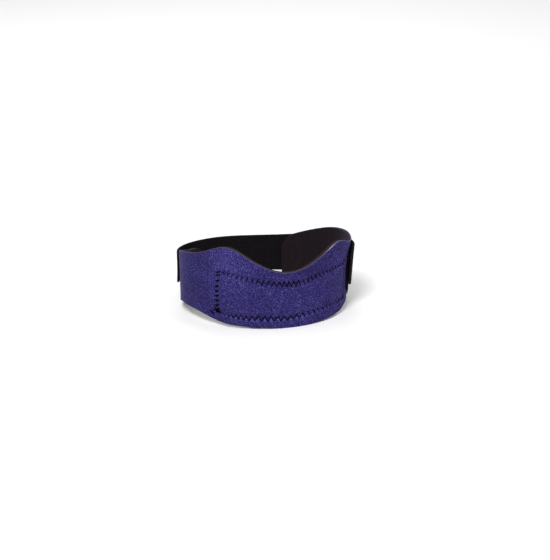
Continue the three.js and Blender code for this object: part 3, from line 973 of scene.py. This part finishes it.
def strap_ribs(s, h):
    up = strap_up(s, h) * RIBBED_WIDTH
    selvedge = smoothstep(np.minimum(up, RIBBED_WIDTH - up), 0.4, 1.6)
    return RIB_DEPTH * selvedge * (0.5 - 0.5 * np.cos(2 * pi * up / RIB_PITCH))


def strap_outer(s, h):
    return (strap_inner(s, h) + STRAP_THICKNESS + 0.1 - strap_ribs(s, h)
            + 0.02 * lattice_noise(s, h, cell=2.5, seed=51))


strap = strip_piece(
    "strap_webbing", stations(*strap_ends, STRAP_FREE_END_RADIUS, STRAP_ROUNDING, coarse=0.9),
    strip_ring(120, 110, STRAP_ROUNDING),
    lambda s: strap_edge(LOWER, s), lambda s: strap_edge(UPPER, s),
    strap_outer, lambda s, h: strap_inner(s, h) + strap_ribs(s, h), strap_ends,
    (STRAP_FREE_END_RADIUS,) * 2 + (STRAP_SEWN_END_RADIUS,) * 2,
    [WEBBING, WEBBING_EDGE, WEBBING])
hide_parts("closure_strap")

STRAP_STITCH_MARGIN = 2.6
STRAP_STITCH = {"length": 2.5, "gap": 0.8, "radius": 0.22, "rise": 0.22}
STRAP_STITCH_INSIDE = {**STRAP_STITCH, "rise": 0.2}


def strap_path(start, end, count=30):
    """The two long sides and the two ends of a box of stitches that holds the strap to the band."""
    s = np.linspace(start, end, count)
    on_band = np.where(s > HALF_BAND, s - LOOP_LENGTH, s)
    low = strap_edge(LOWER, s) + STRAP_STITCH_MARGIN
    high = np.minimum(strap_edge(UPPER, s), band_edge(UPPER, on_band)) - STRAP_STITCH_MARGIN
    sides = [list(zip(s, low)), list(zip(s, high))]
    return sides + [[(s[0], low[0]), (s[0], high[0])], [(s[-1], low[-1]), (s[-1], high[-1])]]


strap_legs = []
for path in strap_path(strap_ends[0] + 5.0, HOOK_START + HOOK_LENGTH - 5.0):
    strap_legs += running_stitches(path, **STRAP_STITCH)
sewn_box = strap_path(strap_ends[1] - STRAP_SEWN_OVERLAP + 9.0, strap_ends[1] - 3.0)
sewn_cross = [[sewn_box[0][0], sewn_box[1][-1]], [sewn_box[1][0], sewn_box[0][-1]]]
for path in sewn_box + sewn_cross:
    strap_legs += running_stitches(path, **STRAP_STITCH)
piece = thread_piece("strap_stitches", strap_legs,
                     lambda s, h: strap_inner(s, h) + STRAP_THICKNESS, 1, STRAP_THREAD)
through_legs = []
for path in sewn_box + sewn_cross:
    on_band = [(place - LOOP_LENGTH, height) for place, height in path]
    through_legs += running_stitches(on_band, **STRAP_STITCH_INSIDE)
piece = thread_piece("strap_stitches_inside", through_legs, lining_face, -1, STRAP_THREAD)

# Hook tab: a woven base against the strap, and its hooks towards the band
HOOK_BASE_THICKNESS = 0.7
HOOK_ROUNDING = 0.2
HOOK_FOOT_HEIGHT = 6.0
HOOK_FOOT_DROP = 0.82
HOOK_FOOT_THINNING = 0.25
HOOK_FIELD_MARGIN = 1.2
HOOK_EDGE_MARGIN = 0.7
HOOK_FREE_FOOT = 4.0
HOOK_PITCH = 1.3
HOOK_SIDES = 5
# A hook from its root to its tip, as steps along the strap and outward, and its radius
HOOK_PROFILE = [
    (0.0, 0.05, 0.17), (0.0, -0.25, 0.14), (0.1, -0.44, 0.13), (0.34, -0.5, 0.11), (0.5, -0.36, 0.07),
]
# Past this step outward its rings turn with the bend, to these shares along and outward
HOOK_BEND = -0.42
HOOK_BENT_ALONG = 0.35
HOOK_BENT_OUTWARD = 0.9
hook_ends = (HOOK_START, HOOK_START + HOOK_LENGTH)
hook_top_face = LAYER_GAP + HOOK_THICKNESS


def hook_low(s):
    return band_edge(LOWER, s) + HOOK_LOWER_MARGIN


def on_hook_foot(s, h):
    """1 at the hook tab's lower edge, falling to 0 at the top of its pressed-down foot."""
    return 1 - smoothstep(h - hook_low(s), 0.0, HOOK_FOOT_HEIGHT)


def hook_outer(s, h):
    """Outer face of the hook tab, pressed flat onto the band below the strap."""
    return hook_top_face - HOOK_FOOT_DROP * on_hook_foot(s, h)


def hook_inner(s, h):
    """Inner face of the hook tab's base, which thins out towards its lower edge."""
    return hook_outer(s, h) - HOOK_BASE_THICKNESS + HOOK_FOOT_THINNING * on_hook_foot(s, h)


hook_base = strip_piece(
    "hook_tab_base", stations(*hook_ends, HOOK_LOWER_CORNER_RADIUS, HOOK_ROUNDING, coarse=0.9),
    strip_ring(36, 36, HOOK_ROUNDING), hook_low, lambda s: hook_low(s) + HOOK_HEIGHT,
    lambda s, h: hook_outer(s, h) + 0.02 * lattice_noise(s, h, cell=1.2, seed=61),
    hook_inner, hook_ends, (HOOK_LOWER_CORNER_RADIUS, HOOK_UPPER_CORNER_RADIUS) * 2, [HOOK_TAPE] * 3)
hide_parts("hook_tab")


def hook_field():
    """Places of the rows of short bent hooks on the band's side of the hook tab."""
    places = []
    columns = int((HOOK_LENGTH - 2 * HOOK_FIELD_MARGIN) / HOOK_PITCH)
    rows = int((HOOK_HEIGHT - 2 * HOOK_FIELD_MARGIN) / HOOK_PITCH)
    for i in range(columns):
        s = hook_ends[0] + HOOK_FIELD_MARGIN + (i + 0.5) * HOOK_PITCH
        from_end = min(s - hook_ends[0], hook_ends[1] - s)
        low = max(corner_inset(from_end, HOOK_LOWER_CORNER_RADIUS), HOOK_FREE_FOOT)
        high = HOOK_HEIGHT - corner_inset(from_end, HOOK_UPPER_CORNER_RADIUS)
        for j in range(rows):
            up = HOOK_FIELD_MARGIN + (j + 0.5) * HOOK_PITCH
            if low + HOOK_EDGE_MARGIN < up < high - HOOK_EDGE_MARGIN:
                places.append((s, hook_low(s) + up))
    return places


def hooks_piece(name, places, material):
    """A bent hook at each place: a stalk from the base with its tip turned along the strap."""
    root = hook_top_face - HOOK_BASE_THICKNESS
    angles = np.linspace(0, 2 * pi, HOOK_SIDES, endpoint=False)
    points, faces, count = [], [], 0
    for s, h in places:
        for along, out, radius in HOOK_PROFILE:
            bent = out < HOOK_BEND
            for angle in angles:
                across = radius * cos(angle)
                points.append((s + along + across * (HOOK_BENT_ALONG if bent else 1.0),
                               root + out + (across * HOOK_BENT_OUTWARD if bent else 0.0),
                               h + radius * sin(angle)))
        faces += tube_sides(count, len(HOOK_PROFILE), HOOK_SIDES)
        last = count + (len(HOOK_PROFILE) - 1) * HOOK_SIDES
        faces.append(tuple(last + j for j in range(HOOK_SIDES)))
        faces.append(tuple(count + j for j in reversed(range(HOOK_SIDES))))
        count += HOOK_SIDES * len(HOOK_PROFILE)
    return add_piece(name, loop_point(*np.transpose(points)), faces, [0] * len(faces), [material])


hooks = hooks_piece("hook_tab_hooks", hook_field(), HOOK_TAPE)
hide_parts("hook_tab")


# Camera at the photograph's viewing angle, in millimetres
VIEW_AZIMUTH, VIEW_ELEVATION, VIEW_ROLL = np.radians([-17.05, 15.0, 1.46])
VIEW_DISTANCE = 2000.0
VIEW_TARGET = np.array([0.0, 0.0, 22.0])
PIXEL_SIZE = 0.636
OFF_CENTRE = (-12.74, 8.78)
SENSOR_WIDTH = 36.0
IMAGE_LONG_SIDE = 560

# Lights and floor, in metres
LIGHT_AIM = Vector((0, 0, 0.025))
FLOOR_HALF = 15.0


def add_camera():
    back = np.array([sin(VIEW_AZIMUTH) * cos(VIEW_ELEVATION),
                     -cos(VIEW_AZIMUTH) * cos(VIEW_ELEVATION), sin(VIEW_ELEVATION)])
    right = np.cross(-back, [0, 0, 1.0])
    right /= np.linalg.norm(right)
    up = np.cross(right, -back)
    rolled_right = right * cos(VIEW_ROLL) - up * sin(VIEW_ROLL)
    rolled_up = right * sin(VIEW_ROLL) + up * cos(VIEW_ROLL)
    place = (VIEW_TARGET + VIEW_DISTANCE * back + MODEL_SHIFT
             - PIXEL_SIZE * (OFF_CENTRE[0] * rolled_right + OFF_CENTRE[1] * rolled_up))
    data = bpy.data.cameras.new("camera")
    data.sensor_width = SENSOR_WIDTH
    data.lens = SENSOR_WIDTH * (VIEW_DISTANCE / PIXEL_SIZE) / IMAGE_LONG_SIDE
    data.clip_end = 60
    camera = add_object("camera", data)
    turn = np.stack([rolled_right, rolled_up, back], -1)
    camera.matrix_world = Matrix.Translation(Vector(place / 1000)) @ Matrix(turn.tolist()).to_4x4()
    bpy.context.scene.camera = camera


def add_light(name, place, size, power):
    data = bpy.data.lights.new(name, "AREA")
    data.shape = "DISK"
    data.size = size
    data.energy = power
    light = add_object(name, data)
    light.location = place
    light.rotation_mode = "QUATERNION"
    light.rotation_quaternion = (LIGHT_AIM - Vector(place)).to_track_quat("-Z", "Y")


def add_stage():
    """A plain pale floor under the strap and a pale sky."""
    mesh = bpy.data.meshes.new("floor")
    corners = [(-1, -1), (1, -1), (1, 1), (-1, 1)]
    mesh.from_pydata([(FLOOR_HALF * x, FLOOR_HALF * y, 0) for x, y in corners], [], [(0, 1, 2, 3)])
    item, tree, surface = shader("floor_pale", 0.9, specular=0.1)
    grain = noise(tree, 3, 2)
    colour(tree, grain, [(0.0, (0.80,) * 3), (1.0, (0.84,) * 3)], surface)
    mesh.materials.append(item)
    floor = add_object("floor", mesh)
    world = bpy.data.worlds.new("sky")
    world.use_nodes = True
    background = world.node_tree.nodes["Background"]
    background.inputs["Color"].default_value = (1.0, 1.0, 1.0, 1)
    background.inputs["Strength"].default_value = 0.55
    bpy.context.scene.world = world


add_camera()
add_stage()
add_light("key", (-0.6, -1.1, 1.1), 0.6, 26)
add_light("fill", (0.9, -1.0, 0.5), 0.9, 6)
add_light("back", (0.2, 1.0, 0.9), 0.8, 6)
bpy.context.scene.view_settings.view_transform = "Standard"
